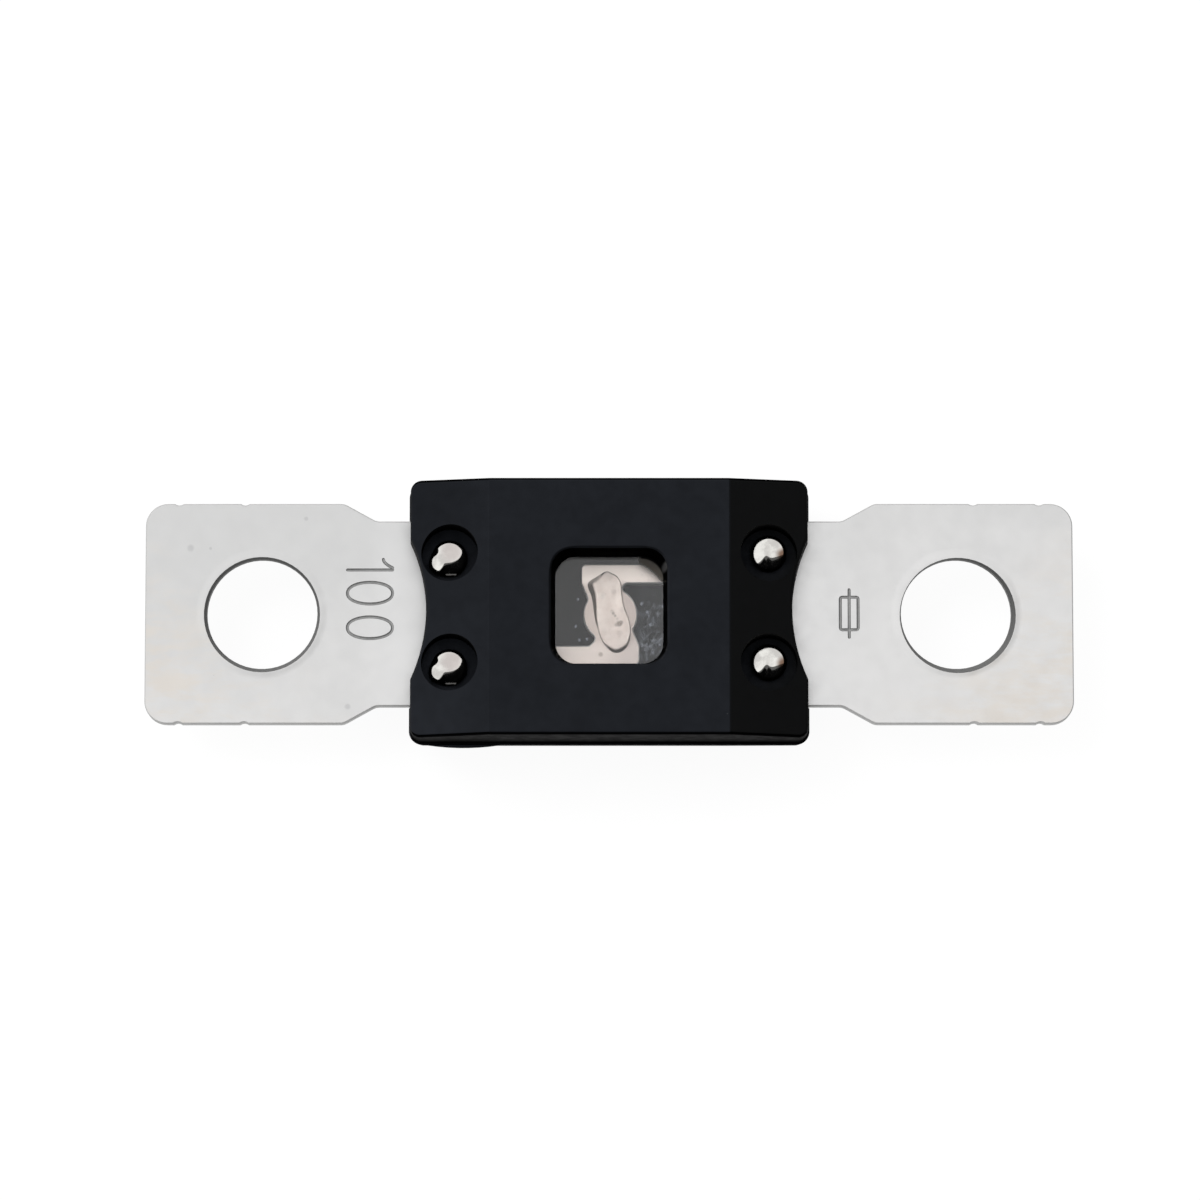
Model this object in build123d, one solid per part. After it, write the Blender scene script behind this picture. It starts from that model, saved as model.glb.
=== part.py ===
from build123d import *
import math
import os

# Bolt-down strip fuse. Millimetres.
# Frame: +X runs along the fuse, +Z points to the window side. The origin lies midway between the two
# stud holes, in the flat underside of the blades, which is the side that seats on the terminals.

# Stamped strip: blades, necks and stud holes
hole_pitch = 50.8
stud_hole_d = 8.1
strip_t = 1.2
blade_w = 16.2
blade_end = 8.55  # from a stud hole's centre to the blade's free end
blade_corner_r = 1.65
neck_free = 2.5  # from the housing's end to the start of the taper
taper_len = 2.35
taper_r = 1.0
neck_w = 13.6
strip_edge = 0.08  # broken edge round the upper face

# Break-out at the top of the punched stud holes: a shallow cone, off centre by a little more on the right
breakout_d = 8.5
breakout_depth = 0.3
breakout_shift_left = (0, -0.08)
breakout_shift_right = (0.1, -0.14)

# Marks left on the blade's long edges where the tie bars were sheared off
nick_r = 0.5
nick_depth = 0.11
nick_near = 1.26  # from a stud hole's centre, away from the housing
nick_far = 6.1

# Fusing element: an S of two arms and a link, with a round pad at its middle
plate_past_rivet = 4.6  # from a rivet's axis to where the clamped plate ends and an arm begins
element_x = 0.09  # where the pad's centre lies
element_y = -0.11
arm_inner_y = 2.3  # these and the next four are measured from the pad's centre
arm_outer_y = 3.7
bend_outer_x = 2.14
link_inner_x = 0.93  # the link's straight side
link_outer_x = 1.15  # where its slanting side would reach the pad's middle line
pad_d = 3.95
element_fillet = 0.35
corner_fill = 0.62  # leg of the triangle that fills the corner between the link and the left arm

# Tin pill on the element
pill_len = 5.9
pill_w = 2.2
pill_h = 0.8
pill_x = 0.2
pill_y = 0.14
pill_turn = 8.3
pill_round = 0.7
pill_headroom = 0.3  # free height between the pill and the pane

# Housing half shells
housing_len = 29.1
housing_w = 19.0
housing_t = 10.7
lower_proud = 0.1  # how far the lower shell stands out past the upper one all round
housing_corner_r = 0.9
upper_draft = 1.5
lower_draft = 5.0
slope_len = 5.85
end_drop = 2.0  # how far the sloped ends fall below the plateau
rim_r = 0.28
base_rim = 0.3  # chamfer round the lower shell's outside
parting_chamfer = 0.1
scoop_depth = 1.15  # of the arc in each end, centred on the stud, which leaves room for the washer

# Channel for the neck and chamber round the element
channel_clear = 0.1
plate_overhang = 0.6  # how far each clamped plate reaches into the chamber
chamber_side = 2.1  # free width beside the arms
chamber_corner_r = 1.0
chamber_below = 2.5  # free depth under the strip

# Rivets and the wells they sit in
rivet_inset = 2.95  # from the housing's end to a rivet's axis
rivet_y = 4.0
shank_d = 1.9
shank_clear = 0.05
head_d = 2.65
head_h = 1.0
tail_d = 2.7
tail_h = 0.7
web_t = 0.8  # plastic between the strip and a rivet's head
well_clear = 0.75  # between a rivet's head and the wall of its well

# Window: a tapered opening over a clear pane that sits in a pocket from inside
window_len = 8.45
window_w = 8.45
window_corner_r = 1.55
window_draft = 6.2
window_edge = 0.12  # broken edge of the mouth
pane_lip = 0.9  # how far the pane reaches past the window's mouth
pane_t = 0.95
pane_corner_r = 0.8
pane_clear = 0.06

# Flash: a thin fin of plastic squeezed out at the parting line on one long side
flash_start_x = -13.3
flash_end_x = -8.0
flash_out = 0.2
flash_t = 0.3

# Places worked out from the sizes above
stud_x = hole_pitch / 2
parting_z = strip_t / 2
shell_h = housing_t / 2
rivet_x = housing_len / 2 - rivet_inset
plate_inner_x = rivet_x - plate_past_rivet
plateau_half_len = housing_len / 2 - slope_len
scoop_r = stud_x - housing_len / 2 + scoop_depth
chamber_len = 2 * (plate_inner_x + plate_overhang)
chamber_w = 2 * (arm_outer_y + chamber_side)
chamber_above = pill_h + pill_headroom
well_d = head_d + 2 * well_clear
well_floor_z = strip_t + web_t
tail_floor_z = -web_t
pane_len = window_len + 2 * pane_lip
pane_w = window_w + 2 * pane_lip
pane_bottom_z = strip_t + chamber_above
pane_top_z = pane_bottom_z + pane_t
window_depth = parting_z + shell_h - pane_top_z
rivet_centres = [Vector(x, y) for x in (-rivet_x, rivet_x) for y in (-rivet_y, rivet_y)]


def slab(sketch, low, high):
    """A sketch drawn on the XY plane, raised into a solid between two heights."""
    return extrude(Pos(0, 0, low) * sketch, high - low)


# Strip
def blade_half():
    """The left blade, its taper and its clamped plate as one flat face."""
    end_x = -stud_x - blade_end
    taper_end_x = -housing_len / 2 - neck_free
    taper_start_x = taper_end_x - taper_len
    edge = [
        (end_x, blade_w / 2),
        (taper_start_x, blade_w / 2),
        (taper_end_x, neck_w / 2),
        (-plate_inner_x, neck_w / 2),
    ]
    mirrored_edge = [(x, -y) for x, y in reversed(edge)]
    face = make_face(Polyline(*edge, *mirrored_edge, close=True))
    columns = face.vertices().group_by(Axis.X)
    face = fillet(columns[0], blade_corner_r)
    taper_corners = [v for v in face.vertices() if taper_start_x - 0.01 < v.X < taper_end_x + 0.01]
    return fillet(taper_corners, taper_r)


def tie_bar_nicks():
    """Shallow bites in both long edges of the left blade."""
    offset = blade_w / 2 + nick_r - nick_depth
    places = [(-stud_x - run, side * offset) for run in (nick_near, nick_far) for side in (-1, 1)]
    return [Pos(x, y) * Circle(nick_r) for x, y in places]


def element_half():
    """The arm that runs to +X and the upper half of the link."""
    arm_len = plate_inner_x + bend_outer_x + abs(element_x)
    arm = Rectangle(arm_len, arm_outer_y - arm_inner_y, align=(Align.MIN, Align.MIN))
    arm = Pos(-bend_outer_x, arm_inner_y) * arm
    link = make_face(
        Polyline(
            (-bend_outer_x, arm_outer_y),
            (-bend_outer_x, arm_inner_y),
            (-link_outer_x, 0),
            (link_inner_x, 0),
            (link_inner_x, arm_outer_y),
            close=True,
        )
    )
    return arm + link


def element():
    """The S-shaped element with its round pad."""
    half = element_half()
    corner_x, corner_y = -link_inner_x, -arm_inner_y
    filling = make_face(
        Polyline(
            (corner_x - corner_fill, corner_y),
            (corner_x, corner_y),
            (corner_x, corner_y + corner_fill),
            close=True,
        )
    )
    face = half + Rot(0, 0, 180) * half + Circle(pad_d / 2) + filling
    return Pos(element_x, element_y) * face


def strip():
    left = blade_half() - tie_bar_nicks()
    body = slab(left + Rot(0, 0, 180) * left + element(), 0, strip_t)
    upright = body.edges().filter_by(Axis.Z)
    near_x = plate_inner_x + 0.01
    near_y = neck_w / 2 - 0.01
    corners = [e for e in upright if abs(e.center().X) < near_x and abs(e.center().Y) < near_y]
    body = fillet(corners, element_fillet)
    body = chamfer(body.faces().sort_by(Axis.Z)[-1].edges(), strip_edge)
    for centre in rivet_centres:
        body -= Pos(centre.X, centre.Y, strip_t / 2) * Cylinder(shank_d / 2 + 2 * shank_clear, 2 * strip_t)
    for hole_x, shift in ((-stud_x, breakout_shift_left), (stud_x, breakout_shift_right)):
        body -= Pos(hole_x, 0, strip_t / 2) * Cylinder(stud_hole_d / 2, 2 * strip_t)
        body -= Pos(hole_x, 0) * breakout(*shift)
    return body


def breakout(shift_x, shift_y):
    """The cone that the punch tore open at the upper face of a stud hole."""
    low = Pos(0, 0, strip_t - breakout_depth) * Circle(stud_hole_d / 2)
    high = Pos(shift_x, shift_y, strip_t) * Circle(breakout_d / 2)
    return loft([low, high])


# Tin pill
def pill():
    outline = SlotOverall(pill_len, pill_w, rotation=90 + pill_turn)
    blob = extrude(outline, pill_h)
    blob = fillet(blob.faces().sort_by(Axis.Z)[-1].edges(), pill_round)
    return Pos(pill_x, pill_y, strip_t) * blob


def outer_edges(faces):
    """The edges round a group of faces, without those that two of the faces share."""
    edges = [edge for face in faces for edge in face.edges()]
    return [edge for edge in edges if edges.count(edge) == 1]


# Housing half shells, drawn with the parting plane at z = 0 and their outside towards +Z
def housing_outline(proud):
    """The shell's outline at the parting plane, with a scoop in each end for the stud's washer."""
    outline = RectangleRounded(housing_len + 2 * proud, housing_w + 2 * proud, housing_corner_r + proud)
    for side in (-1, 1):
        outline -= Pos(side * stud_x, 0) * Circle(scoop_r - proud)
    return outline


def roof(proud):
    """The side view of a half shell: a plateau that slopes down to both ends."""
    half_len = housing_len / 2 + proud
    profile = Polyline(
        (-half_len, 0),
        (-half_len, shell_h - end_drop),
        (-plateau_half_len, shell_h),
        (plateau_half_len, shell_h),
        (half_len, shell_h - end_drop),
        (half_len, 0),
        close=True,
    )
    return extrude(Plane.XZ * make_face(profile), housing_w / 2 + proud, both=True)


def shell_block(draft, proud=0):
    """The outside of a half shell: drafted sides under a plateau with sloped ends."""
    return extrude(housing_outline(proud), shell_h, taper=draft) & roof(proud)


def rim(block):
    """The edges between a block's sides and its plateau and slopes."""
    return outer_edges(block.faces().filter_by(lambda f: f.normal_at().Z > 0.5))


def hollowed(block, free_height, proud=0):
    """A block with its parting edge broken, and with its channel, its chamber and its four rivet wells."""
    body = chamfer(block.faces().sort_by(Axis.Z)[0].edges(), parting_chamfer)

    channel = Rectangle(housing_len + 2 * proud, neck_w + 2 * channel_clear)
    body -= slab(channel, 0, strip_t / 2)
    chamber = RectangleRounded(chamber_len, chamber_w, chamber_corner_r)
    body -= slab(chamber, 0, strip_t / 2 + free_height)

    floor = strip_t / 2 + web_t
    for centre in rivet_centres:
        place = Pos(centre.X, centre.Y)
        body -= place * slab(Circle(well_d / 2), floor, 2 * shell_h)
        body -= place * Cylinder(shank_d / 2 + shank_clear, 2 * shell_h)
    return body


def window_cut():
    """The opening, which narrows from the plateau down to the pane with its corners as round all the way."""
    narrowing = 2 * window_depth * math.tan(math.radians(window_draft))
    mouth = RectangleRounded(window_len, window_w, window_corner_r)
    clear = RectangleRounded(window_len - narrowing, window_w - narrowing, window_corner_r)
    return loft([Pos(0, 0, shell_h - window_depth) * clear, Pos(0, 0, shell_h) * mouth])


def pane_pocket():
    pocket = offset(RectangleRounded(pane_len, pane_w, pane_corner_r), pane_clear)
    return slab(pocket, pane_bottom_z - parting_z, pane_top_z - parting_z)


def upper_housing():
    block = shell_block(upper_draft)
    block = fillet(rim(block), rim_r)
    body = hollowed(block, chamber_above) - pane_pocket() - window_cut()
    plateau = body.faces().sort_by(Axis.Z)[-1]
    body = chamfer(plateau.inner_wires()[0].edges(), window_edge)
    return Pos(0, 0, parting_z) * body


def flash():
    """A lens-shaped fin that stands out of the -Y side, just under the parting plane."""
    side_y = -housing_w / 2 - lower_proud
    middle = (flash_start_x + flash_end_x) / 2
    outer = ThreePointArc((flash_start_x, side_y), (middle, side_y - flash_out), (flash_end_x, side_y))
    back = Polyline(
        (flash_end_x, side_y),
        (flash_end_x, side_y + 2 * flash_out),
        (flash_start_x, side_y + 2 * flash_out),
        (flash_start_x, side_y),
    )
    return slab(make_face(outer + back), parting_z - parting_chamfer - flash_t, parting_z - parting_chamfer)


def lower_housing():
    block = shell_block(lower_draft, lower_proud)
    block = chamfer(rim(block), base_rim)
    body = hollowed(block, chamber_below, lower_proud)
    return Pos(0, 0, parting_z) * Rot(180, 0, 0) * body + flash()


# Clear pane
def pane():
    return slab(RectangleRounded(pane_len, pane_w, pane_corner_r), pane_bottom_z, pane_top_z)


# Rivets
def rivet():
    """One rivet on the Z axis: a domed head above, a shank and a formed tail below."""
    apex = (0, well_floor_z + head_h)
    dome_edge = (head_d / 2, well_floor_z)
    dome = TangentArc(apex, dome_edge, tangent=(1, 0))
    rest = Polyline(
        dome_edge,
        (shank_d / 2, well_floor_z),
        (shank_d / 2, tail_floor_z),
        (0, tail_floor_z),
        apex,
    )
    upper = revolve(Plane.XZ * make_face(dome + rest), Axis.Z)
    return upper + slab(Circle(tail_d / 2), tail_floor_z - tail_h, tail_floor_z)


def rivets():
    one = rivet()
    return Compound(children=[Pos(c.X, c.Y, 0) * one for c in rivet_centres])


nodes = {
    "fuse_strip": strip(),
    "tin_pill": pill(),
    "upper_housing": upper_housing(),
    "lower_housing": lower_housing(),
    "window_pane": pane(),
    "rivets": rivets(),
}

os.makedirs("parts", exist_ok=True)
for name, shape in nodes.items():
    export_step(shape, f"parts/{name}.step")
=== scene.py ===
import math

import bmesh
import bpy
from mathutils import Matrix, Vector, noise


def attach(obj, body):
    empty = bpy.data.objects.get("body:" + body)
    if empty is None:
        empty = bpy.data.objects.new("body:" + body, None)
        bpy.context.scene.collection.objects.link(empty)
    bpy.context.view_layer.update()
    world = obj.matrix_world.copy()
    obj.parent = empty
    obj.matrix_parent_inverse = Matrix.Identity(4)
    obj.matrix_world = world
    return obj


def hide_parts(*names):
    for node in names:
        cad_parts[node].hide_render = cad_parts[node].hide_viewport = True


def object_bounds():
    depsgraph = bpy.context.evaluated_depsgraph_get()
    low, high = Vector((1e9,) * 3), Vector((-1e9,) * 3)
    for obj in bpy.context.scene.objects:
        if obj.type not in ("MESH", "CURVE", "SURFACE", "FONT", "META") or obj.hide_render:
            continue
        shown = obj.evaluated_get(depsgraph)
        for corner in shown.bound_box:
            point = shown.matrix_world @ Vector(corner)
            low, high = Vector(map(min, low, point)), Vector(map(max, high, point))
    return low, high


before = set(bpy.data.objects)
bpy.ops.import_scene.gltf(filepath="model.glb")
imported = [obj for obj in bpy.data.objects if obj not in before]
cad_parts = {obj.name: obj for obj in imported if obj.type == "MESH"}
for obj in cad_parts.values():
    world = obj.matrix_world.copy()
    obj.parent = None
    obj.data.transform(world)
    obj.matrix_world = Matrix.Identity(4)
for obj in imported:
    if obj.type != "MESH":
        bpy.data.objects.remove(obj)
cad_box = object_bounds()

# Bolt-down strip fuse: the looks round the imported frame. Lengths are written in millimetres times mm.
mm = 0.001

# Camera, at the photograph's angle and distance
photo_width_px = 1200
focal_px = 6133.1
sensor_width = 36
camera_distance = 450 * mm
camera_elevation = math.radians(82.88)
camera_target = Vector((-0.669, 1.145, 0)) * mm

# Sizes of the part that the looks need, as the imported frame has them
strip_t = 1.2 * mm
stud_x = 25.4 * mm
stud_hole_r = 4.05 * mm
rivet_x = 11.6 * mm
rivet_y = 4.0 * mm

# Stamped marks: thin round-bottomed strokes
stroke_w = 0.23 * mm
stroke_depth = 0.06 * mm
digit_h = 3.3 * mm
digit_w = 1.6 * mm
one_y = 3.21 * mm
zero_y = 1.50 * mm
digit_pitch = 2.55 * mm
flag_start = 0.16 * mm  # from the middle of the one's stem
flag_w = 0.62 * mm
flag_h = 0.68 * mm
number_x = -17.5 * mm  # middle of the number's height
symbol_x = 17.56 * mm
symbol_len = 3.5 * mm
symbol_w = 1.3 * mm
symbol_lead = 0.55 * mm  # of the wire past each end of the symbol's box
symbol_corner = 0.12 * mm

# Small dark marks on the blades and the lower arm: (x, y, radius), in millimetres
blade_marks = [(-30.65, 4.83, 0.35), (-29.2, 4.8, 0.16), (-22.2, 7.0, 0.22), (-19.1, -6.85, 0.3)]
arm_mark = (-0.62, -3.05, 0.24)

# Tin pill
pill_len = 5.9 * mm
pill_w = 2.2 * mm
pill_x = 0.2 * mm
pill_y = 0.14 * mm
pill_turn = math.radians(8.3)
pill_top = 0.5 * mm  # height of its flat top above the strip

# The pill's outline in its own axes, clockwise from the top: (across, along), in millimetres
pill_outline = [
    (-0.02, 2.93), (0.41, 2.72), (0.76, 2.42), (0.97, 1.80), (0.91, 0.80), (0.96, 0.05), (1.14, -0.80),
    (1.16, -1.63), (0.88, -2.52), (0.45, -2.96), (-0.08, -3.10), (-0.56, -2.84), (-1.02, -2.14),
    (-1.26, -0.90), (-1.31, -0.05), (-1.31, 1.20), (-1.46, 1.90), (-1.40, 2.33), (-0.78, 2.64),
]  # fmt: skip

# Painted shade in the wrinkles and pits of its skin, in the frame: (x, y, radius, strength), in millimetres
pill_wrinkle_shade = [
    (0.22, 0.05, 0.2, 0.3), (0.30, -0.10, 0.16, 0.5), (0.44, -0.27, 0.14, 0.5),
    (0.60, -0.50, 0.16, 0.3), (0.74, -0.84, 0.3, 0.9), (0.88, -0.74, 0.2, 0.6),
    (0.52, -0.93, 0.2, 0.4), (-0.40, 1.32, 0.24, 0.1), (-0.50, 1.12, 0.22, 0.15),
    (0.32, 1.50, 0.28, 0.12), (0.98, 0.2, 0.3, 0.15), (0.78, -1.55, 0.3, 0.15),
]  # fmt: skip

# Window pane: specks of dust, and the two circles past which a painted shadow darkens the corner, in
# millimetres
pane_specks = [
    (-2.28, 0.82), (-2.44, -1.14), (-2.18, -2.17), (-1.62, -2.10), (2.36, 0.51),
    (2.77, -0.11), (2.98, -1.03), (3.18, -3.09), (3.69, -2.48), (3.90, 0.30),
]  # fmt: skip
speck_r = 0.14
grey_middle, grey_r = (0.47, -0.37), 4.12
black_middle, black_r = (2.28, 2.08), 1.64

# Rivets
head_r = 1.325 * mm
head_h = 1.0 * mm
head_seat_z = 2.0 * mm
head_shift_left = Vector((-0.05, -0.13, 0)) * mm  # how far off its shank a head was formed
head_shift_right = Vector((0.02, 0.22, 0)) * mm
crown_r = 9.0 * mm  # radius of the crown's sphere
shoulder_r = 0.3 * mm
shank_r = 0.95 * mm
tail_seat_z = -0.8 * mm
tail_r = 1.35 * mm
tail_h = 0.7 * mm
tail_edge = 0.25 * mm

# How the forming tool left the heads, measured from each head's own axis
fall_way = Vector((0.33, -0.94))  # the way the crown falls to the front
fall_slope = 0.42
fall_soft = 0.1 * mm
crown_middle, crown_reach = Vector((-0.08, 0.73)) * mm, 1.10 * mm  # the flat part of the left-hand crowns
lobe_middle, lobe_reach = Vector((-1.04, -0.52)) * mm, 0.70 * mm
lobe_way = Vector((-0.88, -0.47))
lobe_bulge = 0.3 * mm
nick_middle, nick_r, nick_depth = Vector((-1.14, 0.52)) * mm, 0.22 * mm, 0.22 * mm
lip_x, lip_y = 0.12 * mm, -1.15 * mm  # a short bright lip at the front of the left-hand heads
lip_half_len, lip_half_w = 0.4 * mm, 0.06 * mm
lip_z = head_seat_z + 0.4 * head_h
notch_x, notch_w, notch_depth = -0.17 * mm, 0.3 * mm, 0.32 * mm  # of the right-hand crowns
notched_fall_start = 0.46 * mm

# Meshes
crease = math.radians(28)  # faces that meet at less than this are smoothed
tiny = 0.01 * mm

# Stage
floor_half = 2.0  # metres
floor_gap = 0.01 * mm
ambient = 0.6
lamp_place = (-0.38, 0.30, 0.62)  # metres
lamp_size = 0.45
lamp_power = 2.6


# Materials
def add_node(tree, kind, inputs=None, **settings):
    """A shader node whose inputs are plain values or the sockets of other nodes."""
    node = tree.nodes.new("ShaderNode" + kind)
    for key, value in settings.items():
        setattr(node, key, value)
    for key, value in (inputs or {}).items():
        if isinstance(value, bpy.types.NodeSocket):
            tree.links.new(value, node.inputs[key])
        else:
            node.inputs[key].default_value = value
    return node


class Material:
    """A node material whose patterns are laid out in millimetres of the frame."""

    def __init__(self, name):
        self.data = bpy.data.materials.new(name)
        self.data.use_nodes = True
        self.tree = self.data.node_tree
        self.tree.nodes.clear()
        self.output = self.add("OutputMaterial")
        place = self.add("TexCoord").outputs["Object"]
        self.place = self.add("VectorMath", {0: place, "Scale": 1 / mm}, operation="SCALE").outputs[0]
        axes = self.add("SeparateXYZ", {0: self.place}).outputs
        self.x, self.y, self.z = axes[0], axes[1], axes[2]
        facing = self.add("SeparateXYZ", {0: self.add("TexCoord").outputs["Normal"]}).outputs
        self.facing_y, self.facing_z = facing[1], facing[2]

    def add(self, kind, inputs=None, **settings):
        return add_node(self.tree, kind, inputs, **settings)

    def math(self, operation, first, second=0.0):
        return self.add("Math", {0: first, 1: second}, operation=operation).outputs[0]

    def times(self, first, second):
        return self.math("MULTIPLY", first, second)

    def stretched(self, x=1.0, y=1.0, z=1.0):
        """The coordinates, multiplied along each axis."""
        return self.add("VectorMath", {0: self.place, 1: (x, y, z)}, operation="MULTIPLY").outputs[0]

    def noise(self, size, detail=2.0, roughness=0.5, place=None):
        """A cloudy pattern from 0 to 1 with blotches about size millimetres across."""
        inputs = {"Vector": place or self.place, "Scale": 1 / size, "Detail": detail, "Roughness": roughness}
        return self.add("TexNoise", inputs).outputs["Fac"]

    def dots(self, spacing, radius):
        """1 inside small dots, one in each cell of a scattered grid, and 0 outside."""
        inputs = {"Vector": self.place, "Scale": 1 / spacing}
        distance = self.add("TexVoronoi", inputs).outputs["Distance"]
        return self.span(distance, radius / spacing, 0.5 * radius / spacing)

    def span(self, value, start, end, low=0.0, high=1.0):
        """value taken smoothly from low at start to high at end."""
        inputs = {"Value": value, "From Min": start, "From Max": end, "To Min": low, "To Max": high}
        return self.add("MapRange", inputs, interpolation_type="SMOOTHSTEP").outputs[0]

    def from_point(self, x, y):
        """The distance from a point of the XY plane, in millimetres."""
        flat = self.add("CombineXYZ", {0: self.x, 1: self.y}).outputs[0]
        return self.add("VectorMath", {0: flat, 1: (x, y, 0)}, operation="DISTANCE").outputs["Value"]

    def spot(self, x, y, radius):
        """1 at a point of the XY plane, 0 from radius on."""
        return self.span(self.from_point(x, y), radius, 0.3 * radius)

    def from_stud(self):
        """The distance from the nearer stud hole's axis, in millimetres."""
        outward = self.math("ABSOLUTE", self.x)
        flat = self.add("CombineXYZ", {0: outward, 1: self.y}).outputs[0]
        inputs = {0: flat, 1: (stud_x / mm, 0, 0)}
        return self.add("VectorMath", inputs, operation="DISTANCE").outputs["Value"]

    def mix(self, share, first, second):
        """The first colour where share is 0 and the second where it is 1."""
        first_socket, second_socket = 6, 7
        inputs = {0: share}
        for socket, value in ((first_socket, first), (second_socket, second)):
            inputs[socket] = value if isinstance(value, bpy.types.NodeSocket) else (*value, 1)
        return self.add("Mix", inputs, data_type="RGBA").outputs[2]

    def bump(self, height, distance, strength=1.0, normal=None):
        inputs = {"Height": height, "Distance": distance, "Strength": strength}
        if normal is not None:
            inputs["Normal"] = normal
        return self.add("Bump", inputs).outputs[0]

    def blend(self, share, first, second):
        """The first shader where share is 0 and the second where it is 1."""
        return self.add("MixShader", {0: share, 1: first, 2: second}).outputs[0]

    def diffuse(self, *colour):
        return self.add("BsdfDiffuse", {"Color": (*colour, 1)}).outputs[0]

    def show(self, shader):
        self.tree.links.new(shader, self.output.inputs["Surface"])
        return self.data


def housing_plastic():
    """Matt black moulded plastic with a faint bluish mottle and a few pale specks."""
    m = Material("housing_plastic")
    mottle = m.span(m.noise(2.6, 4.0, 0.62), 0.34, 0.66)
    colour = m.mix(mottle, (0.0024, 0.0026, 0.0030), (0.0040, 0.0044, 0.0052))
    specks = m.times(m.dots(1.9, 0.05), m.span(m.noise(3.0), 0.52, 0.6))
    colour = m.mix(specks, colour, (0.05, 0.052, 0.055))

    # Walls are duller and darker than the roof, and the long sides' edges and the window's walls are black:
    # painted shade.
    lean = m.math("ABSOLUTE", m.facing_z)
    upright = m.span(lean, 0.5, 0.25)
    from_middle = m.math("MAXIMUM", m.math("ABSOLUTE", m.x), m.math("ABSOLUTE", m.y))
    beside_window = m.span(from_middle, 4.5, 4.7)
    edge = m.times(m.span(lean, 0.93, 0.86), m.span(lean, 0.2, 0.4))
    edge = m.times(edge, m.span(m.math("ABSOLUTE", m.facing_y), 0.25, 0.4))
    edge = m.times(edge, beside_window)
    black = m.times(upright, m.span(beside_window, 0.0, 1.0, 1.0, 0.0))
    black = m.math("MAXIMUM", black, edge)
    right_end = m.span(m.x, 8.6, 8.9)
    # Painted shade: the right end is tinted darker and warmer, the walls darker, and the window's walls and
    # the long sides' edges black.
    colour = m.mix(right_end, colour, (0.0028, 0.0025, 0.0016))
    colour = m.mix(upright, colour, (0.0012, 0.0012, 0.0013))
    colour = m.mix(black, colour, (0.0003, 0.0003, 0.0003))
    # Painted glint: a pale streak on the window's wall by its upper right corner.
    painted_glint = m.times(m.spot(4.08, 2.95, 0.42), upright)
    colour = m.mix(painted_glint, colour, (0.07, 0.07, 0.07))

    # Painted shade and sheen in the specular level: the sheen fades towards the parting line and on the right
    # end, and grows to the front on the left end
    wall_gloss = m.times(m.span(m.z, 1.4, 4.4, 0.0, 0.015), m.span(m.z, 0.5, 0.62))
    wall_gloss = m.math("ADD", wall_gloss, m.span(m.z, 0.62, 0.5, 0.0, 0.06))
    gloss = m.math("SUBTRACT", 0.26, m.times(right_end, 0.1))
    leftward = m.times(m.span(m.x, -8.4, -12.5), m.times(m.y, 0.006))
    gloss = m.math("SUBTRACT", gloss, leftward)
    gloss = m.math("SUBTRACT", gloss, m.times(m.span(m.x, -8.6, -8.9), 0.03))
    gloss = m.times(gloss, m.span(upright, 0.0, 1.0, 1.0, 0.0))
    gloss = m.math("ADD", gloss, m.times(wall_gloss, upright))
    gloss = m.times(gloss, m.span(black, 0.0, 1.0, 1.0, 0.05))

    normal = m.bump(m.noise(0.12, 3.0, 0.6), 0.002 * mm, 0.6)
    normal = m.bump(m.noise(1.6, 2.0), 0.02 * mm, 0.6, normal)
    rough = m.span(m.noise(0.8, 3.0), 0.3, 0.7, 0.44, 0.54)
    inputs = {"Base Color": colour, "Roughness": rough, "Normal": normal, "Specular IOR Level": gloss}
    shader = m.add("BsdfPrincipled", inputs)
    shader.inputs["Specular Tint"].default_value = (0.74, 0.82, 1.0, 1)
    return m.show(shader.outputs[0])


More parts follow.
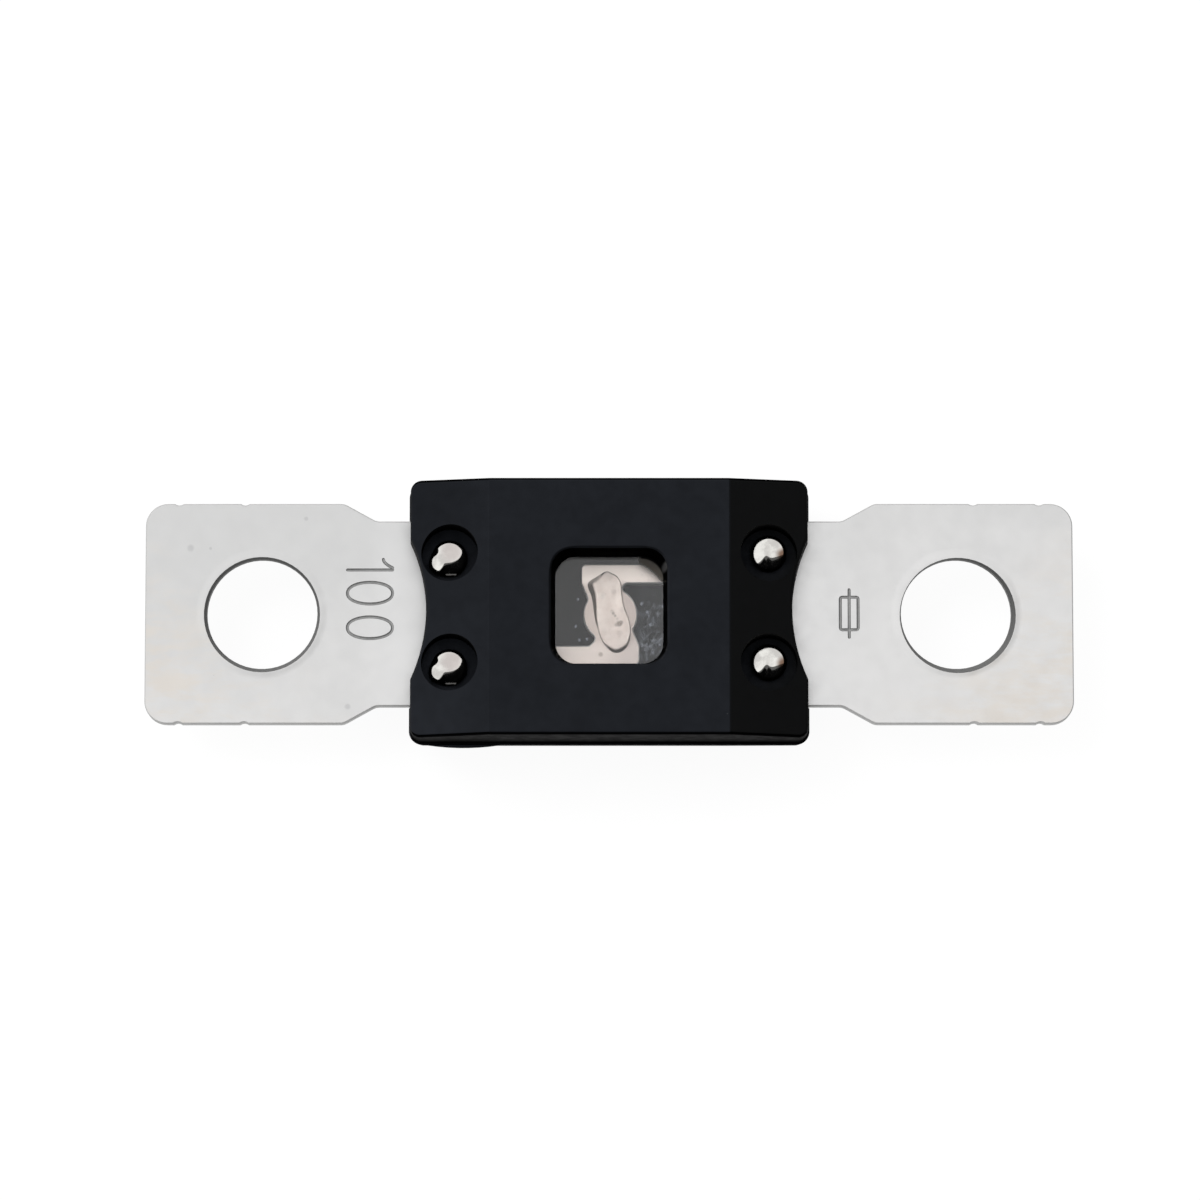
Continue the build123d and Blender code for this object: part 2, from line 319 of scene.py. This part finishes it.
def tin_plate():
    """Satin tin plating: pale grey on the blades, warmer on the element, with faint stains and marks."""
    m = Material("tin_plate")
    clouds = m.times(m.noise(7.0, 4.0, 0.6), 2.0)
    clouds = m.math("ADD", clouds, m.times(m.x, 0.017))
    clouds = m.math("SUBTRACT", clouds, m.times(m.y, 0.07))
    colour = m.mix(m.span(clouds, 0.2, 1.7), (0.725, 0.725, 0.722), (0.815, 0.81, 0.806))
    # Painted light: the blades are paler near the housing.
    painted_light_at_neck = m.span(m.math("ABSOLUTE", m.x), 18.5, 15.5, 0.0, 0.45)
    colour = m.mix(painted_light_at_neck, colour, (0.83, 0.83, 0.83))
    stain = m.span(m.math("SUBTRACT", m.math("ABSOLUTE", m.x), m.y), 24, 38)
    stain = m.times(stain, m.span(m.noise(2.6, 4.0, 0.65, m.stretched(0.5, 1.4, 1)), 0.4, 0.64))
    colour = m.mix(m.times(stain, 0.8), colour, (0.80, 0.75, 0.69))
    # Painted light and shade on the element: the upper arm is pale, the pads and the lower arm darker, and
    # both darker still to the right.
    element = m.span(m.math("ABSOLUTE", m.x), 7.4, 6.6)
    pad = m.mix(m.noise(1.2, 3.0), (0.62, 0.53, 0.485), (0.68, 0.59, 0.54))
    pad = m.mix(m.span(m.x, 0.8, 1.4, 0.0, 0.8), pad, (0.58, 0.50, 0.465))
    arms = m.mix(m.noise(0.9, 3.0), (0.97, 0.865, 0.795), (1.0, 0.91, 0.84))
    lower_arm_shade = m.times(m.span(m.y, 1.0, -1.0), m.span(m.x, -2.0, 2.0, 0.5, 1.0))
    arms = m.mix(lower_arm_shade, arms, (0.66, 0.585, 0.55))
    colour = m.mix(element, colour, m.mix(m.span(m.math("ABSOLUTE", m.y), 1.7, 2.5), pad, arms))
    colour = m.mix(m.times(m.spot(*arm_mark), 0.65), colour, (0.30, 0.25, 0.22))
    for mark in blade_marks:
        colour = m.mix(m.times(m.spot(*mark), 0.35), colour, (0.42, 0.42, 0.43))
    specks = m.times(m.dots(1.7, 0.07), m.span(m.noise(5.0), 0.5, 0.6))
    colour = m.mix(m.times(specks, 0.25), colour, (0.45, 0.45, 0.46))
    rough = m.span(m.noise(1.4, 5.0, 0.65), 0.3, 0.7, 0.32, 0.38)
    normal = m.bump(m.noise(0.22, 3.0), 0.002 * mm, 0.6)
    normal = m.bump(m.noise(6.0, 2.0), 0.05 * mm, 0.5, normal)
    swell = m.span(m.from_stud(), stud_hole_r / mm + 0.8, stud_hole_r / mm + 0.1)
    normal = m.bump(swell, 0.07 * mm, 0.9, normal)
    shader = m.add("BsdfPrincipled", {"Base Color": colour, "Roughness": rough, "Normal": normal})
    shader.inputs["Metallic"].default_value = 1.0
    return m.show(shader.outputs[0])


def sheared_edge():
    """The strip's cut edges: a smooth band below and a torn one above, and painted shade on the walls of the
    stud holes, darkest where they face the front.
    """
    m = Material("sheared_edge")
    torn = m.span(m.z, 0.72, 0.86)
    streaks = m.noise(0.16, 4.0, 0.6, m.stretched(1, 1, 0.12))
    colour = m.mix(streaks, (0.68, 0.68, 0.675), (0.86, 0.86, 0.85))
    colour = m.mix(m.times(torn, 0.4), colour, (0.5, 0.495, 0.49))
    # Painted shade in the stud holes: their walls are dark, darkest where they face the front.
    hole = m.span(m.from_stud(), stud_hole_r / mm + 0.6, stud_hole_r / mm + 0.4)
    hole_wall_shade = m.mix(m.span(m.facing_y, -0.9, 0.9), (0.10, 0.10, 0.098), (0.26, 0.26, 0.257))
    colour = m.mix(hole, colour, m.mix(streaks, hole_wall_shade, (0.15, 0.15, 0.148)))
    rough = m.span(torn, 0.0, 1.0, 0.38, 0.55)
    height = m.times(streaks, m.span(torn, 0.0, 1.0, 0.6, 0.2))
    height = m.math("ADD", height, m.times(m.noise(0.07, 3.0), torn))
    normal = m.bump(height, 0.012 * mm, 0.8)
    shader = m.add("BsdfPrincipled", {"Base Color": colour, "Roughness": rough, "Normal": normal})
    shader.inputs["Metallic"].default_value = 0.4
    return m.show(shader.outputs[0])


def stamped_groove():
    """The floor and flanks of the stamped strokes, darker and a little duller than the plating around them.
    """
    m = Material("stamped_groove")
    colour = m.mix(m.noise(0.25, 3.0), (0.28, 0.28, 0.28), (0.46, 0.46, 0.455))
    shader = m.add("BsdfPrincipled", {"Base Color": colour})
    shader.inputs["Metallic"].default_value = 1.0
    shader.inputs["Roughness"].default_value = 0.42
    return m.show(shader.outputs[0])


def cast_tin():
    """Dull tin with a wrinkled skin and a few pits, with painted light and shade: paler at its upper end,
    darker at its lower end, dark in its wrinkles and pits and on its flanks.
    """
    m = Material("cast_tin")
    skin = m.span(m.noise(0.9, 4.0, 0.6), 0.3, 0.7)
    # Painted light and shade: paler towards its upper end, darker towards its lower end.
    upper = m.mix(skin, (0.91, 0.79, 0.72), (0.98, 0.88, 0.81))
    lower = m.mix(skin, (0.77, 0.667, 0.61), (0.842, 0.748, 0.69))
    colour = m.mix(m.span(m.y, 1.9, -2.1), upper, lower)
    ragged = m.span(m.noise(0.3, 4.0, 0.7), 0.25, 0.6, 0.35, 1.0)
    # Painted shade: dark marks in the wrinkles and pits of the skin.
    for x, y, radius, strength in pill_wrinkle_shade:
        share = m.times(m.spot(x, y, radius), strength)
        colour = m.mix(m.times(share, ragged), colour, (0.16, 0.13, 0.11))

    # Painted shade: its flanks are dark on the left, under its lower end and over its upper end
    across = m.times(m.x, math.cos(pill_turn))
    across = m.math("ADD", across, m.times(m.y, math.sin(pill_turn)))
    low = m.span(m.z, 1.68, 1.6)
    left = m.times(m.span(across, -0.2, -0.5), m.span(m.y, -1.4, -0.7))
    left = m.times(left, m.span(m.y, 2.4, 1.95, 0.25, 1.0))
    under = m.times(m.span(m.y, -2.2, -2.6), m.span(m.x, -0.3, 0.1))
    over = m.times(m.span(m.y, 2.25, 2.5), m.span(m.x, -0.7, -0.4))
    dark = m.times(low, m.math("MAXIMUM", m.math("MAXIMUM", left, over), under))
    colour = m.mix(dark, colour, (0.11, 0.085, 0.068))
    rough = m.span(m.noise(0.3, 3.0), 0.3, 0.7, 0.42, 0.54)
    normal = m.bump(m.noise(0.35, 4.0, 0.6), 0.015 * mm, 0.6)
    metal = m.times(m.span(low, 1.0, 0.0), 0.7)
    inputs = {"Base Color": colour, "Roughness": rough, "Normal": normal, "Metallic": metal}
    return m.show(m.add("BsdfPrincipled", inputs).outputs[0])


def bright_nickel():
    """Bright nickel plating, pinkish grey over the left-hand crowns and dark brown on the right of the
    right-hand heads, with painted shade on the heads' sides.
    """
    m = Material("bright_nickel")
    colour = m.mix(m.span(m.noise(0.8, 3.0), 0.35, 0.65), (0.62, 0.605, 0.58), (0.86, 0.85, 0.81))
    for side in (-1, 1):
        # The right-hand heads are dark brown on their right, and the left-hand crowns pinkish grey over their
        # middle.
        brown_patch = m.spot(rivet_x / mm + 1.15, side * rivet_y / mm + 0.1, 0.75)
        colour = m.mix(brown_patch, colour, (0.22, 0.14, 0.10))
        pinkish_patch = m.spot(-rivet_x / mm + 0.12, side * rivet_y / mm + 0.3, 1.15)
        colour = m.mix(m.times(pinkish_patch, 0.85), colour, (0.60, 0.55, 0.53))
    # Painted shade: the heads' sides below their crowns are dark, down in their wells.
    crown_z = (head_seat_z + head_h) / mm
    shoulder = m.span(m.z, crown_z - 0.4, crown_z - 0.5)
    shoulder = m.times(shoulder, m.span(m.z, 0.0, 0.2))
    colour = m.mix(shoulder, colour, (0.10, 0.097, 0.094))
    rough = m.span(m.noise(0.5, 4.0, 0.6), 0.3, 0.7, 0.08, 0.16)
    normal = m.bump(m.noise(0.5, 2.0), 0.01 * mm, 0.5)
    shader = m.add("BsdfPrincipled", {"Base Color": colour, "Roughness": rough, "Normal": normal})
    shader.inputs["Metallic"].default_value = 1.0
    return m.show(shader.outputs[0])


def clear_pane():
    """Clear plastic that lets lamp light through, scratched on the right, with a painted shadow in one
    corner.
    """
    m = Material("clear_pane")
    clear = m.add("BsdfPrincipled")
    clear.inputs["Base Color"].default_value = (0.97, 0.97, 0.97, 1)
    clear.inputs["Transmission Weight"].default_value = 1.0
    clear.inputs["Roughness"].default_value = 0.02
    clear.inputs["IOR"].default_value = 1.52
    right = m.times(m.span(m.x, 1.7, 2.6), m.span(m.y, 1.4, -1.0, 0.2, 1.0))
    blotches = m.span(m.noise(0.4, 5.0, 0.75, m.stretched(1.1, 0.8, 1)), 0.48, 0.68)
    marks = m.times(right, m.times(blotches, 0.2))
    for x, y in pane_specks:
        marks = m.math("MAXIMUM", marks, m.times(m.spot(x, y, speck_r), 0.2))
    marked = m.blend(marks, clear.outputs[0], m.diffuse(0.72, 0.77, 0.88))

    # Painted shadow in the upper right corner: grey towards the middle and black along the corner's edge
    corner = m.times(m.span(m.x, 2.0, 2.4), m.span(m.y, 1.9, 2.3))
    share = m.times(m.span(m.from_point(*grey_middle), grey_r, grey_r + 0.18, 0.0, 0.9), corner)
    marked = m.blend(share, marked, m.diffuse(0.12, 0.11, 0.095))
    share = m.times(m.span(m.from_point(*black_middle), black_r, black_r + 0.12), corner)
    marked = m.blend(share, marked, m.diffuse(0.004, 0.004, 0.004))
    to_lamp = m.add("LightPath").outputs["Is Shadow Ray"]
    return m.show(m.blend(to_lamp, marked, m.add("BsdfTransparent").outputs[0]))


# Meshes
def welded(node):
    """A copy of a frame node's mesh whose faces share their corners."""
    bm = bmesh.new()
    bm.from_mesh(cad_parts[node].data)
    bmesh.ops.remove_doubles(bm, verts=bm.verts, dist=0.0001 * mm)
    return bm


def new_piece(name, bm, materials, sharp_angle=crease):
    """An object from plain points and faces, smooth where they meet at less than sharp_angle."""
    bm.verts.index_update()
    points = [v.co[:] for v in bm.verts]
    faces = [[v.index for v in f.verts] for f in bm.faces]
    slots = [f.material_index for f in bm.faces]
    bm.free()
    mesh = bpy.data.meshes.new(name)
    mesh.from_pydata(points, [], faces)
    for material in materials:
        mesh.materials.append(material)
    mesh.polygons.foreach_set("material_index", slots)
    mesh.shade_smooth()
    mesh.set_sharp_from_angle(angle=sharp_angle)
    piece = bpy.data.objects.new(name, mesh)
    bpy.context.scene.collection.objects.link(piece)
    return piece


def dress(piece, slot, *replaced):
    """Ties a piece to the body and hides the frame nodes that it stands for. Its slot is not used."""
    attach(piece, "root")
    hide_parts(*replaced)


def tube(bm, path, radius, closed, sides=12, cap_rings=3):
    """A round tube along a flat path, with round ends where the path is open."""
    count = len(path)
    rings = []
    for i, point in enumerate(path):
        before = path[i - 1] if closed or i else point
        after = path[(i + 1) % count] if closed or i < count - 1 else point
        rings.append((point, (after - before).normalized(), radius))
    if not closed:
        turns = [0.5 * math.pi * k / cap_rings for k in range(1, cap_rings)]
        start, end = rings[0], rings[-1]
        for t in turns:
            rings.insert(0, (start[0] - start[1] * radius * math.sin(t), start[1], radius * math.cos(t)))
            rings.append((end[0] + end[1] * radius * math.sin(t), end[1], radius * math.cos(t)))
    loops = []
    for centre, along, size in rings:
        side = Vector((-along.y, along.x, 0))
        loop = []
        for k in range(sides):
            turn = 2 * math.pi * k / sides
            spoke = side * math.cos(turn) + Vector((0, 0, math.sin(turn)))
            loop.append(bm.verts.new(centre + size * spoke))
        loops.append(loop)
    following = loops[1:] + loops[:1] if closed else loops[1:]
    for low, high in zip(loops, following):
        for k in range(sides):
            bm.faces.new((low[k], low[k - 1], high[k - 1], high[k]))
    if not closed:
        bm.faces.new(loops[0])
        bm.faces.new(reversed(loops[-1]))


def stamp_paths():
    """The strokes of a plain number and of a fuse symbol, as flat paths: (points, closed)."""
    def on_number(across, up):
        return Vector((number_x + up, -across, 0))

    zero_points, flag_points = 40, 8
    paths = []
    for centre in (-zero_y, digit_pitch - zero_y):
        oval = []
        for k in range(zero_points):
            turn = 2 * math.pi * k / zero_points
            across = math.copysign(abs(math.cos(turn)) ** 0.9, math.cos(turn)) * digit_w / 2
            up = math.sin(turn) * digit_h / 2
            oval.append(on_number(centre + across, up))
        paths.append((oval, True))
    one = -one_y
    paths.append(([on_number(one, -digit_h / 2), on_number(one, digit_h / 2)], False))
    flag = []
    for step in range(flag_points):
        share = step / (flag_points - 1)
        fall = flag_h * (1 - (1 - share) ** 1.9)
        flag.append(on_number(one - flag_start - share * flag_w, digit_h / 2 - fall))
    paths.append((flag, False))

    box_half_len = symbol_len / 2 - symbol_lead - symbol_corner
    box_half_w = symbol_w / 2 - symbol_corner
    box = []
    for sx, sy, first in ((1, 1, 0), (-1, 1, 90), (-1, -1, 180), (1, -1, 270)):
        for step in (0, 45, 90):
            turn = math.radians(first + step)
            middle = Vector((symbol_x + sy * box_half_w, sx * box_half_len, 0))
            box.append(middle + symbol_corner * Vector((math.sin(turn), math.cos(turn), 0)))
    paths.append((box, True))
    paths.append(([Vector((symbol_x, end * symbol_len / 2, 0)) for end in (-1, 1)], False))
    return paths


def strip_piece():
    """The strip with its stamped marks, its faces sorted into plated and sheared ones."""
    bm = welded("fuse_strip")
    bm.normal_update()
    for face in bm.faces:
        face.material_index = 0 if abs(face.normal.z) > 0.95 else 1
    piece = new_piece("stamped_strip", bm, [tin_plate(), sheared_edge(), stamped_groove()])

    radius = (stroke_w**2 / 4 + stroke_depth**2) / (2 * stroke_depth)
    height = Vector((0, 0, strip_t + radius - stroke_depth))
    marks = bmesh.new()
    for path, closed in stamp_paths():
        tube(marks, [point + height for point in path], radius, closed)
    bmesh.ops.recalc_face_normals(marks, faces=marks.faces)
    for face in marks.faces:
        face.material_index = 2
    cutter = new_piece("stamp_cutter", marks, [])
    cut = piece.modifiers.new("stamp", "BOOLEAN")
    cut.operation = "DIFFERENCE"
    cut.solver = "EXACT"
    cut.use_self = True
    cut.material_mode = "INDEX"
    cut.object = cutter
    view = bpy.context.evaluated_depsgraph_get()
    stamped = bpy.data.meshes.new_from_object(piece.evaluated_get(view))
    piece.modifiers.clear()
    piece.data = stamped
    bpy.data.objects.remove(cutter)
    stamped.shade_smooth()
    stamped.set_sharp_from_angle(angle=crease)
    dress(piece, "strip_metal", "fuse_strip")


def smooth_loop(points, steps):
    """A closed Catmull-Rom curve through the points, with steps places from each point to the next."""
    count = len(points)
    loop = []
    for i in range(count):
        a, b, c, d = (Vector(points[(i + k) % count]) for k in (-1, 0, 1, 2))
        for step in range(steps):
            t = step / steps
            cubic = (3 * b - a - 3 * c + d) * t**3 + (2 * a - 5 * b + 4 * c - d) * t**2
            loop.append(0.5 * (cubic + (c - a) * t + 2 * b))
    return loop


def pill_piece():
    """A cast slug of tin: a flat top, steep sides, and a bevel that widens up its left side."""
    bm = bmesh.new()
    rings = 20
    half_spine = (pill_len - pill_w) / 2 / mm
    long_way = Vector((-math.sin(pill_turn), math.cos(pill_turn), 0))
    cross_way = Vector((math.cos(pill_turn), math.sin(pill_turn), 0))
    centre = Vector((pill_x, pill_y, strip_t))
    outline = smooth_loop(pill_outline, 8)
    count = len(outline)
    loops = []
    for ring in range(rings + 1):
        inward = (ring / rings) ** 1.6
        loop = []
        for point in outline:
            spine = Vector((0, max(-half_spine, min(half_spine, point.y))))
            reach = (point - spine).length
            outward = (point - spine).normalized()
            bevel = max(0.0, -outward.x) * max(0.0, min(1.0, 0.45 + 0.3 * point.y))
            under = max(0.0, -outward.y) ** 2
            over = max(0.0, outward.y) ** 2
            soft = 0.07 + 0.4 * bevel + 0.14 * under + 0.05 * over
            power = 2.2 - 1.0 * min(1.0, bevel + under)
            depth = min(1.0, inward * reach / soft)
            rise = (1 - (1 - depth) ** power) ** (1 / power)
            flat = point.lerp(spine, inward)
            place = centre + (cross_way * flat.x + long_way * flat.y) * mm
            place.z += pill_top * rise
            loop.append(bm.verts.new(place))
        loops.append(loop)
    for low, high in zip(loops, loops[1:]):
        for k in range(count):
            bm.faces.new((low[k - 1], low[k], high[k], high[k - 1]))
    bm.faces.new(reversed(loops[0]))
    bmesh.ops.remove_doubles(bm, verts=bm.verts, dist=0.002 * mm)
    bmesh.ops.recalc_face_normals(bm, faces=bm.faces)
    for vert in bm.verts:
        share = min(1.0, (vert.co.z - strip_t) / (0.3 * mm))
        ripple = noise.noise(vert.co / (0.9 * mm)) * 0.04 * mm
        ripple += noise.noise(vert.co / (0.35 * mm)) * 0.014 * mm
        vert.co.z += share * ripple
    piece = new_piece("cast_tin_pill", bm, [cast_tin()], math.radians(50))
    dress(piece, "tin", "tin_pill")


def rivet_profile():
    """The rivet's outline from the top of its domed head down to its tail: (radius, height) points."""
    points = []
    top = head_seat_z + head_h
    meet = math.asin((head_r - shoulder_r) / (crown_r - shoulder_r))
    crown_steps, shoulder_steps = 48, 14
    for step in range(crown_steps + 1):
        tilt = meet * step / crown_steps
        points.append((crown_r * math.sin(tilt), top - crown_r * (1 - math.cos(tilt))))
    for step in range(1, shoulder_steps + 1):
        tilt = meet + (math.pi / 2 - meet) * step / shoulder_steps
        fall = (crown_r - shoulder_r) * (1 - math.cos(meet)) + shoulder_r * (1 - math.cos(tilt))
        points.append((head_r - shoulder_r * (1 - math.sin(tilt)), top - fall))
    below = [
        (head_r, head_seat_z),
        (shank_r, head_seat_z),
        (shank_r, tail_seat_z),
        (tail_r, tail_seat_z),
        (tail_r, tail_seat_z - tail_h + tail_edge),
        (tail_r - tail_edge, tail_seat_z - tail_h),
        (0, tail_seat_z - tail_h),
    ]
    return points + below


def rivet_pieces():
    """Four rivets whose heads keep the dents of the forming tool."""
    material = bright_nickel()
    around = 160
    spots = [(x, y) for x in (-rivet_x, rivet_x) for y in (-rivet_y, rivet_y)]
    turns = [2 * math.pi * k / around for k in range(around)]
    for number, (x, y) in enumerate(spots, 1):
        bm = bmesh.new()
        loops = []
        for radius, height in rivet_profile():
            if radius < 0.001 * mm:
                loops.append([bm.verts.new((0, 0, height))] * around)
                continue
            loops.append([bm.verts.new((radius * math.cos(t), radius * math.sin(t), height)) for t in turns])
        for high, low in zip(loops, loops[1:]):
            for k in range(around):
                corners = []
                for vert in (high[k - 1], low[k - 1], low[k], high[k]):
                    if vert not in corners:
                        corners.append(vert)
                bm.faces.new(corners)
        dent(bm, number, x < 0)
        shift = head_shift_left if x < 0 else head_shift_right
        for vert in bm.verts:
            past_shank = vert.co.xy.length > shank_r + tiny
            if vert.co.z > head_seat_z + tiny or (vert.co.z > head_seat_z - tiny and past_shank):
                vert.co += shift
            vert.co += Vector((x, y, 0))
        piece = new_piece(f"rivet_{number}", bm, [material], math.radians(40))
        dress(piece, "rivet_metal", "rivets")


def dent(bm, seed, lobed):
    """Works the crown of a rivet on the Z axis: ripples, a fall to the front, and a side lobe or a notch."""
    for vert in bm.verts:
        above = vert.co.z - head_seat_z - 0.3 * head_h
        if above <= 0:
            continue
        share = min(1.0, above / (0.3 * head_h))
        flat = vert.co.xy
        wave = noise.noise(vert.co / (0.9 * mm) + Vector((0, 0, 7.3 * seed)))
        sink = 0.02 * mm * (0.6 + wave)
        if lobed:
            past = (flat - crown_middle).length - crown_reach
            off_lobe = (flat - lobe_middle).length - lobe_reach
            fall_share = 1 / (1 + math.exp(-off_lobe / (0.05 * mm)))
            sink += nick_depth * math.exp(-(((flat - nick_middle).length / nick_r) ** 2))
        else:
            notch = math.exp(-(((flat.x - notch_x) / notch_w) ** 2))
            past = flat.dot(fall_way) - notched_fall_start + notch_depth * notch
            fall_share = 1
        sink += fall_share * fall_slope * 0.5 * (past + math.hypot(past, fall_soft))
        vert.co.z -= share * sink
        if not lobed:
            continue
        if abs(flat.x - lip_x) < lip_half_len and abs(flat.y - lip_y) < lip_half_w:
            vert.co.z = lip_z
        bulge = lobe_bulge * max(0.0, flat.normalized().dot(lobe_way)) ** 5 * flat.length / head_r
        vert.co.xy += lobe_way * bulge


# Stage
def floor_piece(low_z):
    """A pale floor that looks white to the camera but keeps the part's soft shadow."""
    bm = bmesh.new()
    corners = [(-1, -1), (1, -1), (1, 1), (-1, 1)]
    bm.faces.new([bm.verts.new((x * floor_half, y * floor_half, low_z - floor_gap)) for x, y in corners])
    m = Material("floor")
    path = m.add("LightPath").outputs
    white = m.add("Emission", {"Strength": 0.92}).outputs[0]
    seen = m.add("AddShader", {0: m.diffuse(0.13, 0.13, 0.13), 1: white}).outputs[0]
    backdrop = m.add("Emission", {"Strength": 0.5}).outputs[0]
    mirrored = m.math("MAXIMUM", path["Is Glossy Ray"], path["Is Transmission Ray"])
    unseen = m.blend(mirrored, m.diffuse(0.8, 0.8, 0.8), backdrop)
    floor = new_piece("floor", bm, [m.show(m.blend(path["Is Camera Ray"], unseen, seen))])


def sky():
    """White for the camera; for reflections a tent, brighter on the left, with two dark cards."""
    world = bpy.data.worlds.new("studio")
    world.use_nodes = True
    bpy.context.scene.world = world
    tree = world.node_tree
    tree.nodes.clear()

    def add(kind, inputs=None, **settings):
        return add_node(tree, kind, inputs, **settings)

    path = add("LightPath").outputs
    heading = add("TexCoord").outputs["Generated"]

    def toward(direction, start, end, low, high):
        """From low to high as the dot product of the heading and the direction goes from start to end."""
        along = add("VectorMath", {0: heading, 1: direction}, operation="DOT_PRODUCT").outputs["Value"]
        inputs = {"Value": along, "From Min": start, "From Max": end, "To Min": low, "To Max": high}
        return add("MapRange", inputs, interpolation_type="SMOOTHSTEP").outputs[0]

    front = toward((0.3, -0.95, 0), 0.24, 0.36, 1.0, 0.14)
    right = toward((1, 0, 0), 0.38, 0.56, 1.0, 0.08)
    left = toward((-1, 0, 0), 0.2, 0.8, 0.98, 1.12)
    cards = add("Math", {0: front, 1: right}, operation="MINIMUM").outputs[0]
    cards = add("Math", {0: cards, 1: left}, operation="MULTIPLY").outputs[0]
    mirrored = add("Math", {0: path["Is Glossy Ray"], 1: path["Is Transmission Ray"]}, operation="MAXIMUM")
    level = add("Mix", {0: mirrored.outputs[0], 2: ambient, 3: cards}, data_type="FLOAT").outputs[0]
    level = add("Mix", {0: path["Is Camera Ray"], 2: level, 3: 1.0}, data_type="FLOAT").outputs[0]
    background = add("Background", {"Color": (1, 1, 1, 1), "Strength": level})
    tree.links.new(background.outputs[0], add("OutputWorld").inputs["Surface"])


def lamp(name, place, size, power):
    """A square soft light at place, in metres, that points at the part."""
    data = bpy.data.lights.new(name, "AREA")
    data.size = size
    data.energy = power
    light = bpy.data.objects.new(name, data)
    light.location = place
    light.rotation_euler = (-Vector(place)).to_track_quat("-Z", "Y").to_euler()
    light.visible_glossy = False
    bpy.context.scene.collection.objects.link(light)


def camera():
    """The photograph's view: from the front, high above the part."""
    data = bpy.data.cameras.new("camera")
    data.sensor_width = sensor_width
    data.lens = focal_px / photo_width_px * sensor_width
    data.clip_start = 0.01
    data.clip_end = 10
    view = bpy.data.objects.new("camera", data)
    back = Vector((0, -math.cos(camera_elevation), math.sin(camera_elevation)))
    view.location = camera_target + back * camera_distance
    view.rotation_euler = (-back).to_track_quat("-Z", "Y").to_euler()
    bpy.context.scene.collection.objects.link(view)
    bpy.context.scene.camera = view


def paint(node, material):
    """Gives a frame node a material."""
    mesh_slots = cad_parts[node].data.materials
    mesh_slots.clear()
    mesh_slots.append(material)


plastic = housing_plastic()
paint("upper_housing", plastic)
paint("lower_housing", plastic)
paint("window_pane", clear_pane())
strip_piece()
pill_piece()
rivet_pieces()

floor_piece(cad_box[0].z)
sky()
lamp("key", lamp_place, lamp_size, lamp_power)
camera()
bpy.context.scene.view_settings.view_transform = "Standard"
